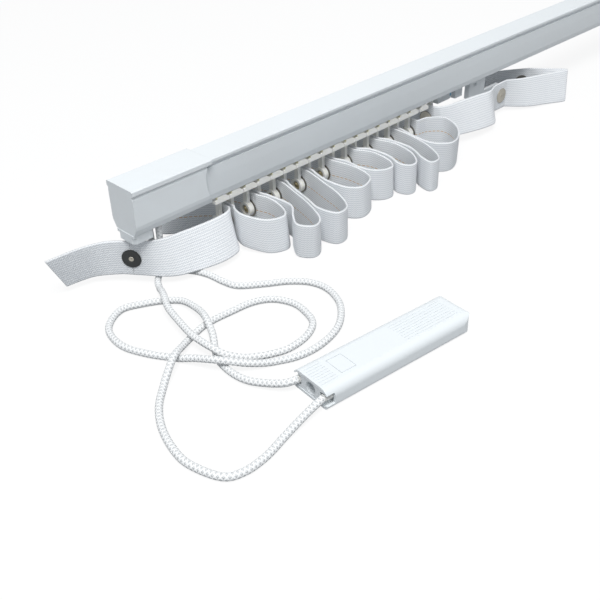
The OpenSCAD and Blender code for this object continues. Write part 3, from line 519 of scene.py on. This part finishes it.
def front_loop(xa, xb, shape):
    """Rows of a front loop: a Catmull-Rom curve through its points, straight at both snaps. The lower edge
    lies deeper by the flare, as a share of the depth, and the tip dips with the square of the depth."""
    flare, points = shape[0], np.array(shape[1:], float)
    deep = -points[:, 1].min()
    share = np.maximum(0, (-points[:, 1] - SNAP_FLAT) / (deep - SNAP_FLAT))
    x, y = (xa + xb) / 2 + points[:, 0], points[:, 1]
    rows = np.stack([x, y, x, y * (1 + flare / deep), TIP_DIP * share**2], 1)
    ends = [[(e, d, e, d, 0) for d in depths] for e, depths in ((xa, (0, -SNAP_FLAT)), (xb, (-SNAP_FLAT, 0)))]
    return smooth_path(np.vstack([ends[0], rows, ends[1]]), 10)[10:-10]


def tape_pieces():
    """Rows of the whole tape, cut at the middle of each snap: name, rows, and the two shares of the
    travel."""
    flat = lambda x, y, drop: np.array([[x, y, x, y, drop]])
    fixed = flat(*FIXED_AT[:3])
    first = np.vstack([flat(tape_x(1), -SNAP_FLAT, 0), flat(tape_x(1), 0, 0)])
    out = [("tape_tail", np.vstack([smooth_path(TAIL, 12), fixed]), 0, 0),
           ("tape_band", np.vstack([fixed, smooth_path(BAND, 14), first]), 0, 1 / MASTER)]
    for k in range(1, MASTER):
        lift = MASTER_LIFT if k == COUNT else 0.0
        if k % 2:
            rows = back_loop(tape_x(k), tape_x(k + 1), BACK_LOOPS[(k - 1) // 2], lift)
        else:
            rows = front_loop(tape_x(k), tape_x(k + 1), FRONT_LOOPS[k // 2 - 1])
        rows = np.vstack([flat(tape_x(k), 0, 0), rows, flat(tape_x(k + 1), 0, -lift)])
        out.append((f"tape_fold_{k:02d}", rows, k / MASTER, (k + 1) / MASTER))
    lead = np.vstack([flat(tape_x(MASTER), 0, -MASTER_LIFT), flat(tape_x(MASTER), -SNAP_FLAT, -MASTER_LIFT),
                      smooth_path(LEAD, 12), flat(*LEAD_AT[:3]), smooth_path(HEM, 12), flat(*HEM_AT[:3]),
                      smooth_path(TURNED, 8)])
    out.append(("tape_lead", lead, 1, 1))
    return out


def even_rows(rows, spacing):
    """The same rows again at even distances along the tape's middle, with straight lines between them."""
    middle = (rows[:, 0:2] + rows[:, 2:4]) / 2
    gone = np.concatenate([[0], np.cumsum(np.linalg.norm(np.diff(middle, axis=0), axis=1))])
    keep = np.concatenate([[True], np.diff(gone) > 1e-6])
    count = max(int(round(gone[-1] / spacing)), 4) + 1
    at = np.linspace(0, gone[-1], count)
    return np.stack([np.interp(at, gone[keep], rows[keep, c]) for c in range(5)], 1), gone[-1]


def strip(name, rows, start, material):
    """A woven strip: its top and bottom edges follow their own lines. On both faces a rib stands out every
    1.5 mm of the height as a cosine 0.1 mm deep, moved up and down by a triangle wave 1.6 mm long, and the
    selvedges swell a little with the same wave."""
    rows, length = even_rows(rows, ROW_STEP)
    n, ribs = len(rows), round(TAPE_HEIGHT / RIB)
    m = ribs * 3 + 1
    top, bottom = rows[:, 0:2], rows[:, 2:4]
    h = np.linspace(0, 1, m)[None, :, None]
    line = top[:, None, :] * (1 - h) + bottom[:, None, :] * h
    along = np.gradient(line, axis=0)
    along /= np.linalg.norm(along, axis=2, keepdims=True)
    out = np.stack([-along[..., 1], along[..., 0]], 2)
    dip = np.minimum(rows[:, 4], TIP_DIP)
    z = TAPE_HEIGHT / 2 - SNAP_DROP - dip[:, None] - TAPE_HEIGHT * h[0, :, 0][None, :]
    u = start + np.linspace(0, length, n)
    wave = 1 - np.abs((u + ZIGZAG_AHEAD) / ZIGZAG_STEP % 2 - 1)
    edge = np.clip(np.minimum(h, 1 - h) * TAPE_HEIGHT / SELVEDGE, 0, 1) ** 0.5
    up = TAPE_HEIGHT * (1 - h)
    swell = RIB_DEPTH / 2 * (np.cos(2 * np.pi * (up + ZIGZAG * wave[:, None, None]) / RIB) - 1)
    half = (TAPE_THICK / 2 + swell) * (0.5 + 0.5 * edge) + SELVEDGE_SWELL * (1 - edge) * wave[:, None, None]
    z = z + SELVEDGE_WAVE * np.where(h[..., 0] < 1e-6, wave[:, None], 0)
    z = z - SELVEDGE_WAVE * np.where(h[..., 0] > 1 - 1e-6, wave[:, None], 0)
    faces = []
    for hand in (1, -1):
        xy = line + hand * half * out
        faces.append(np.concatenate([xy, z[:, :, None]], 2))
    # Round each station: down the marked face, up the plain one
    ring = np.concatenate([faces[0], faces[1][:, ::-1]], 1)
    around = 2 * m
    quads = grid_quads(n, around, closed_columns=True)
    up = TAPE_HEIGHT * (1 - h[0, :, 0])
    v = np.concatenate([MARKED_FACE + up, up[::-1]])
    i, j = quads[:, 0] // around, quads[:, 0] % around
    i2, j2 = quads[:, 2] // around, quads[:, 2] % around
    corners = ((i, j), (i, j2), (i2, j2), (i2, j))
    uvs = np.stack([np.stack([u[a], v[b]], 1) for a, b in corners], 1).reshape(-1, 2)
    caps = [list(range(around))[::-1], list(range((n - 1) * around, n * around))]
    piece = put_mesh(name, to_row(ring.reshape(-1, 3)), quads, uvs, caps, [material])
    return piece, length


# Cords

# The free legs' routes, as in the part's source: x, y and the height of the middle over its lying height
FRONT_ROUTE = [(-40.7, -4.6, 32.5), (-40.8, -4.6, 22), (-41.5, -4.5, 12), (-44, -5.5, 4), (-49, -9, 0),
               (-53, -16, 0), (-57, -24, 3.4), (-60, -30, 4.6), (-66, -42, 4.6), (-70, -57, 4.6),
               (-73, -72, 4.6), (-73, -88, 4.6), (-70, -96, 2.5), (-62, -103, 0), (-53, -109, 0),
               (-42, -113, 0), (-28, -112, 0), (-17, -106, 0), (-12, -95, 0), (-11, -84, 0), (-16, -73, 0),
               (-26, -67, 0), (-40, -65, 0), (-56, -64, 0), (-69, -67, 0), (-81, -73, 2.4), (-91, -79, 4.6),
               (-100, -85, 2.6), (-108, -91, 0), (-118, -101, 0), (-126, -114, 0), (-131, -129, 0),
               (-132, -142, 0), (-127, -158, 0), (-118, -163, 0), (-105, -163, 0), (-90, -160, 0.5),
               (-75, -158, 2.4), (-62, -156.8, 3.75)]
REAR_ROUTE = [(-40.7, 4.6, 32.5), (-40.7, 4.6, 22), (-40, 4, 12), (-37, 0, 4.5), (-32, -9, 0),
              (-27, -17, 0), (-24, -26, 0), (-23, -38, 0), (-20, -48, 0), (-8, -58, 0), (3, -66, 0),
              (11, -76, 0), (13, -88, 0), (8, -102, 0), (-2, -113, 0), (-14, -120, 0), (-30, -123, 0),
              (-44, -121, 0), (-56, -115, 0), (-67, -109, 2.4), (-77, -99, 4.6), (-83, -86, 2.4),
              (-88, -76, 0), (-96, -62, 0), (-101, -47, 0), (-99, -32, 0), (-92, -23, 0), (-81, -18, 0),
              (-70, -22, 0), (-59, -29, 0), (-53, -38, 1), (-54, -53, 3), (-58, -65, 4.6), (-63, -76, 2.4),
              (-69, -85, 0), (-74, -94, 0), (-76, -106, 0), (-75, -117, 0.4), (-70.5, -127, 1.4),
              (-65.5, -134.6, 2.8), (-59.8, -137.8, 3.75)]


def cord_tube(name, route, radius, material, sides=20):
    """A braided cord: a circle carried along a smooth path, its frame turned from point to point without
    twist. The radius swells by the higher of two sine waves that wind round the cord in opposite
    directions, which are the strands of the braid."""
    path = smooth_path(np.array([(x, y, LYING_Z + h) for x, y, h in route]), 8)
    path[:, 2] = np.maximum(path[:, 2], LYING_Z)
    t = tangents(path)
    t[0] = (0, 0, -1)
    side = np.zeros_like(t)
    side[0] = (0, 1, 0)
    for i in range(1, len(path)):
        side[i] = side[i - 1] - t[i] * (side[i - 1] @ t[i])
        side[i] /= np.linalg.norm(side[i])
    gone = np.concatenate([[0], np.cumsum(np.linalg.norm(np.diff(path, axis=0), axis=1))])
    u = np.linspace(0, gone[-1], int(gone[-1] / 0.5) + 1)
    fine = np.stack([np.interp(u, gone, path[:, c]) for c in range(3)], 1)
    t = np.stack([np.interp(u, gone, t[:, c]) for c in range(3)], 1)
    side = np.stack([np.interp(u, gone, side[:, c]) for c in range(3)], 1)
    t /= np.linalg.norm(t, axis=1, keepdims=True)
    side -= t * (side * t).sum(1, keepdims=True)
    side /= np.linalg.norm(side, axis=1, keepdims=True)
    other = np.cross(t, side)
    v = np.arange(sides + 1) / sides
    a = 2 * np.pi * v[:-1][None, :, None]
    turn = 2 * np.pi * np.stack([u[:, None] / BRAID + hand * STRANDS * v[None, :-1] for hand in (1, -1)])
    weave = np.maximum(*np.sin(turn))[..., None]
    swollen = radius * (0.955 + 0.045 * weave)
    ring = fine[:, None] + swollen * (np.cos(a) * side[:, None] + np.sin(a) * other[:, None])
    n = len(fine)
    quads = grid_quads(n, sides, closed_columns=True)[:, ::-1]
    i, j = quads[:, 3] // sides, quads[:, 3] % sides
    corners = ((i + 1, j), (i + 1, j + 1), (i, j + 1), (i, j))
    uvs = np.stack([np.stack([u[p], v[q]], 1) for p, q in corners], 1)
    caps = [list(range(sides)), list(range((n - 1) * sides, n * sides))[::-1]]
    piece = put_mesh(name, to_row(ring.reshape(-1, 3)), quads, uvs.reshape(-1, 2), caps, [material])
    return piece, to_row(path), gone[-1] / 1000


# Press studs


def turned(profile, sides):
    """A profile of (along, radius) pairs turned about the X axis, closed at both ends on the axis."""
    p = np.asarray(profile, float)
    a = np.linspace(0, 2 * np.pi, sides, endpoint=False)
    ring = np.stack([np.repeat(p[:, 0:1], sides, 1), p[:, 1:2] * np.cos(a), p[:, 1:2] * np.sin(a)], 2)
    return ring.reshape(-1, 3), grid_quads(len(p), sides, closed_columns=True)


# Profiles of a press stud along its own axis from the middle of its ring, as (along, radius): the hollow stud
# with its bead, the washer behind the ring, and the cap on the tape's other face with its rivet
STUD = [(-0.7, 0.01), (-0.7, 0.9), (-0.95, 1.2), (-1.1, 1.55), (-1.1, 1.85), (-0.95, 2.12), (-0.7, 2.2),
        (-0.4, 2.24), (-0.2, 2.6), (0.1, 2.7), (0.4, 2.6), (0.6, 2.22), (1.9, 2.2), (1.94, 0.01)]
WASHER = [(1.96, 0.01), (1.96, 2.6), (2.0, 5.7), (2.1, 5.92), (2.25, 6.0), (2.42, 5.94), (2.52, 5.7),
          (2.54, 0.01)]
CAP = [(3.95, 0.01), (3.95, 5.7), (4.02, 5.93), (4.15, 6.0), (4.32, 5.86), (4.42, 5.5), (4.46, 5.0),
       (4.4, 4.6), (4.37, 3.2), (4.42, 2.5), (4.58, 2.1), (4.6, 1.5)]
RIVET = [(4.4, 0.01), (4.4, 1.55), (4.55, 1.62), (4.7, 1.45), (4.74, 1.1), (4.68, 0.75), (4.45, 0.6),
         (4.4, 0.3), (4.4, 0.01)]


# Sides of a stud, and how many steps of the cap's profile are its rim
STUD_SIDES = 40
RIM_STEPS = 5


def press_stud(name, place, turn, drop, materials, rim):
    """Stud, washer, cap and rivet of one press stud, with one material each, turned about Z and set where it
    holds the tape. rim is the number of the material on the cap's rim."""
    verts, quads, slots, start = [], [], [], 0
    for index, profile in enumerate((STUD, WASHER, CAP, RIVET)):
        v, q = turned(profile, STUD_SIDES)
        verts.append(v)
        quads.append(q + start)
        slots.append(np.full(len(q), index))
        start += len(v)
    slots[2][: RIM_STEPS * STUD_SIDES] = rim
    verts = np.concatenate(verts)
    a = math.radians(turn)
    x, y = place[0] - TAPE_OFF * math.cos(a), place[1] - TAPE_OFF * math.sin(a)
    moved = np.stack([x + verts[:, 0] * math.cos(a) - verts[:, 1] * math.sin(a),
                      y + verts[:, 0] * math.sin(a) + verts[:, 1] * math.cos(a),
                      verts[:, 2] - SNAP_DROP - drop], 1)
    return put_mesh(name, to_row(moved), np.concatenate(quads), None, (), materials, np.concatenate(slots))


# Settings, steps and panel


class TrackSettings(bpy.types.PropertyGroup):
    """Sizes and colours that a user of the track may want to change."""

    cord_diameter: FloatProperty(name="Cord diameter", description="Thickness of the braided cord",
                                 default=0.004, min=0.003, max=0.0042, subtype="DISTANCE", unit="LENGTH")
    coat_colour: FloatVectorProperty(name="Track colour", description="Colour of the powder coat",
        default=(0.894, 0.914, 0.924), size=3, subtype="COLOR_GAMMA", min=0, max=1)
    plastic_colour: FloatVectorProperty(name="Cap colour", description="Colour of the moulded caps and weight",
        default=(0.894, 0.914, 0.924), size=3, subtype="COLOR_GAMMA", min=0, max=1)
    tape_colour: FloatVectorProperty(name="Tape colour", description="Colour of the webbing's ribs",
        default=(0.975, 0.982, 0.988), size=3, subtype="COLOR_GAMMA", min=0, max=1)
    stitch_colour: FloatVectorProperty(name="Stitch colour", description="Colour of the row of stitches",
        default=(0.83, 0.66, 0.40), size=3, subtype="COLOR_GAMMA", min=0, max=1)


class TRACK_OT_housings(bpy.types.Operator):
    """Finish the track, its caps, blocks, sheaves and the cord weight"""

    bl_idname = "track.housings"
    bl_label = "Finish track and housings"

    def execute(self, context):
        settings = context.scene.curtain_track
        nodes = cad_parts
        coat = powder_coated_aluminium(tuple(settings.coat_colour))
        white = moulded_plastic("moulded_abs_white", tuple(settings.plastic_colour), "#E0E4E6", 0.38, 0.5)
        shallow = moulded_plastic("moulded_abs_weight", tuple(settings.plastic_colour), "#E3E7E9", 0.4, 0.1)
        # The third colour is the painted shadow in the joints between the blocks
        acetal = acetal_with_joint_shadow("#F7F6F1", "#EFEEE8", "#CFCBAA")
        arm = marked_plastic(tuple(settings.plastic_colour), "#E9ECEE", "#5FA3C4")
        steel = ground_metal("ground_steel", "#B9BBBD", 0.3)
        finishes = {coat: ["track"],
                    white: ["drive_end_cap", "pulley_block", "return_end_cap", "return_block", "cord_clamp"],
                    arm: ["lead_arm"],
                    shallow: ["weight_body", "weight_insert"],
                    acetal: ["drive_sheave_front", "drive_sheave_rear", "return_sheave", "weight_sheave",
                             "master_carrier"] + [f"carrier_{k:02d}" for k in range(1, MASTER)],
                    steel: ["drive_sheave_pin", "return_sheave_pin", "weight_sheave_pin", "ballast_rod"]}
        for material, names in finishes.items():
            for name in names:
                nodes[name].data.materials.clear()
                nodes[name].data.materials.append(material)
        return {"FINISHED"}


class TRACK_OT_cords(bpy.types.Operator):
    """Lay the two free cord legs, and finish the cord inside the track and the weight"""

    bl_idname = "track.cords"
    bl_label = "Lay cords"

    def execute(self, context):
        settings = context.scene.curtain_track
        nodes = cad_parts
        # The second colour is the painted shade in the gaps between the strands
        rope = braided_cord("#F6F7F7", "#BDC1C3")
        radius = settings.cord_diameter * 500
        on_front = [nodes[n] for n in ("cord_weight_run", "weight_body", "weight_insert", "weight_sheave",
                                       "weight_sheave_pin", "ballast_rod")]
        for name, node, route, held in (("cord_leg_front_braid", "cord_leg_front", FRONT_ROUTE, on_front),
                                        ("cord_leg_rear_braid", "cord_leg_rear", REAR_ROUTE, [])):
            piece, path, length = cord_tube(name, route, radius, rope)
            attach(piece, "track_body")
            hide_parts(node)
        plain = moulded_plastic("braided_polyester_cord_inside", "#EDEDEB", "#D8D8D4", 0.75, 0.0)
        for name in ("cord_track_run", "cord_weight_run"):
            nodes[name].data.materials.clear()
            nodes[name].data.materials.append(plain)
        return {"FINISHED"}


class TRACK_OT_tape(bpy.types.Operator):
    """Fold the woven heading tape between its press studs"""

    bl_idname = "track.tape"
    bl_label = "Fold tape"

    def execute(self, context):
        settings = context.scene.curtain_track
        # The second colour is the painted shade in the webbing's grooves
        webbing = woven_webbing(tuple(settings.tape_colour), "#C4C9CF", tuple(settings.stitch_colour))
        gone = 0.0
        for name, rows, share_a, share_b in tape_pieces():
            piece, length = strip(name, rows, gone, webbing)
            gone += length
            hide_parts("tape")
            if share_a == share_b:
                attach(piece, "master" if share_a else "track_body")
            else:
                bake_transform(piece)
        return {"FINISHED"}


class TRACK_OT_studs(bpy.types.Operator):
    """Set the press studs that hold the tape to the carriers"""

    bl_idname = "track.studs"
    bl_label = "Set press studs"

    def execute(self, context):
        brass = ground_metal("brass_worn", "#C9B77F", 0.32)
        dark = ground_metal("washer_blackened", "#4A4B49", 0.45)
        black = moulded_plastic("black_enamel", "#15191A", "#1E2323", 0.32, 0.0)
        nickel = ground_metal("nickel_plated_brass", "#B4B0A4", 0.3)
        bronze = ground_metal("tarnished_brass", "#5C5F55", 0.38)
        cream = moulded_plastic("painted_cap", "#E9E3D6", "#DDD6C6", 0.4, 0.0)
        usual = [brass, dark, nickel, nickel]
        for k in range(1, MASTER):
            turn = 0.0 if k % 2 else 180.0
            piece = press_stud(f"press_stud_{k:02d}", (tape_x(k), 0.0), turn, 0.0, usual, 2)
            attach(piece, f"hanger_{k:02d}")
            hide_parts(f"snap_{k:02d}")
        master_at = (tape_x(MASTER), 0.0, -MASTER_LIFT, 180.0)
        # The last number is that of the rim's material: the dark one on the master carrier's cream cap
        for name, (x, y, drop, turn), body, node, finishes, rim in (
                ("press_stud_fixed", FIXED_AT, "track_body", "fixed_snap", [brass, dark, black, nickel], 2),
                ("press_stud_master", master_at, "master", "master_snap", [brass, dark, cream, cream], 1),
                ("press_stud_lead", LEAD_AT, "master", "lead_snaps", [brass, dark, nickel, nickel], 2),
                ("press_stud_hem", HEM_AT, "master", "lead_snaps", [brass, dark, bronze, nickel], 2)):
            piece = press_stud(name, (x, y), turn, drop, finishes, rim)
            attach(piece, body)
            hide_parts(node)
        return {"FINISHED"}


# Stage

# Camera, found from the photograph's own perspective: place, angles in degrees, focal length and the width of
# the photograph in pixels, and the width of the sensor in millimetres
CAMERA_AT = (-290.271, -382.021, 214.236)
CAMERA_AZIMUTH = -43.744
CAMERA_ELEVATION = 33.94
CAMERA_ROLL = -1.921
FOCAL_PX = 873.229
PHOTO_PX = 600
SENSOR = 36.0
# Softbox: place and width in metres, and power in watts
KEY_AT = (-0.70, -0.60, 1.60)
KEY_WIDTH = 0.9
KEY_WATTS = 28.5
# Half the width of the floor, in metres
FLOOR_REACH = 6


class TRACK_OT_stage(bpy.types.Operator):
    """Put in the floor, the soft studio light and the camera"""

    bl_idname = "track.stage"
    bl_label = "Set the stage"

    def execute(self, context):
        scene = context.scene
        az, el, roll = (math.radians(a) for a in (CAMERA_AZIMUTH, CAMERA_ELEVATION, CAMERA_ROLL))
        back = np.array([math.sin(az) * math.cos(el), -math.cos(az) * math.cos(el), math.sin(el)])
        right = np.array([math.cos(az), math.sin(az), 0.0])
        up = np.cross(back, right)
        across = math.cos(roll) * right + math.sin(roll) * up
        above = -math.sin(roll) * right + math.cos(roll) * up
        lens = bpy.data.cameras.new("camera")
        lens.sensor_width = SENSOR
        lens.lens = FOCAL_PX / PHOTO_PX * SENSOR
        lens.clip_start = 0.01
        lens.clip_end = 20
        camera = bpy.data.objects.new("camera", lens)
        scene.collection.objects.link(camera)
        camera.matrix_world = placed(across, above, back, to_row(CAMERA_AT))
        scene.camera = camera

        corners = FLOOR_REACH * np.array([(-1, -1, 0), (1, -1, 0), (1, 1, 0), (-1, 1, 0)], float)
        floor = put_mesh("floor", corners, np.array([[0, 1, 2, 3]]), None, (), [self.floor_material()],
                         smooth=False)

        world = bpy.data.worlds.new("studio")
        scene.world = world
        world.use_nodes = True
        tree = world.node_tree
        tree.nodes.clear()
        fill = add(tree, "ShaderNodeBackground", Color=linear("#EFF5FB"), Strength=0.40)
        white = add(tree, "ShaderNodeBackground", Color=(1, 1, 1, 1), Strength=1.0)
        mixed = add(tree, "ShaderNodeMixShader", in0=seen_directly(tree), in1=fill.outputs[0],
                    in2=white.outputs[0])
        add(tree, "ShaderNodeOutputWorld", Surface=mixed.outputs[0])

        self.softbox("key", KEY_AT, KEY_WIDTH, KEY_WATTS)
        scene.view_settings.view_transform = "Standard"
        return {"FINISHED"}

    @staticmethod
    def floor_material():
        """Plain studio floor: a grey that throws little light back up, and to the camera a white that the
        object still shades."""
        material, tree, surface = new_material("studio_floor", Roughness=0.9, Base_Color=linear("#97999B"))
        white = add(tree, "ShaderNodeBsdfDiffuse", Color=linear("#FAFAFA"))
        glow = add(tree, "ShaderNodeEmission", Color=(1, 1, 1, 1), Strength=1.0)
        shaded = add(tree, "ShaderNodeMixShader", in0=0.88, in1=white.outputs[0], in2=glow.outputs[0])
        mixed = add(tree, "ShaderNodeMixShader", in0=seen_directly(tree), in1=surface.outputs[0],
                    in2=shaded.outputs[0])
        tree.links.new(mixed.outputs[0], tree.nodes["Material Output"].inputs["Surface"])
        return material

    @staticmethod
    def softbox(name, place, width, watts):
        """A square white softbox that looks from its place to the row's origin."""
        light = bpy.data.lights.new(name, "AREA")
        light.size = width
        light.energy = watts
        lamp = bpy.data.objects.new(name, light)
        bpy.context.scene.collection.objects.link(lamp)
        away = np.array(place) / np.linalg.norm(place)
        side = np.cross((0.0, 0.0, 1.0), away)
        side /= np.linalg.norm(side)
        lamp.matrix_world = placed(side, np.cross(away, side), away, place)


class TRACK_PT_panel(bpy.types.Panel):
    """Lists the steps and the settings in the sidebar"""

    bl_idname = "TRACK_PT_panel"
    bl_label = "Curtain track"
    bl_space_type = "VIEW_3D"
    bl_region_type = "UI"
    bl_category = "Curtain track"

    def draw(self, context):
        column = self.layout.column()
        for name in TrackSettings.__annotations__:
            column.prop(context.scene.curtain_track, name)
        for operator in OPERATORS:
            column.operator(operator.bl_idname)


OPERATORS = (TRACK_OT_stage, TRACK_OT_cords, TRACK_OT_housings, TRACK_OT_tape, TRACK_OT_studs)
CLASSES = (TrackSettings, *OPERATORS, TRACK_PT_panel)


def register():
    for item in CLASSES:
        bpy.utils.register_class(item)
    bpy.types.Scene.curtain_track = PointerProperty(type=TrackSettings)


def unregister():
    del bpy.types.Scene.curtain_track
    for item in reversed(CLASSES):
        bpy.utils.unregister_class(item)


def main():
    register()
    bpy.ops.track.stage()
    bpy.ops.track.cords()
    bpy.ops.track.housings()
    bpy.ops.track.tape()
    bpy.ops.track.studs()


if __name__ == "__main__":
    main()
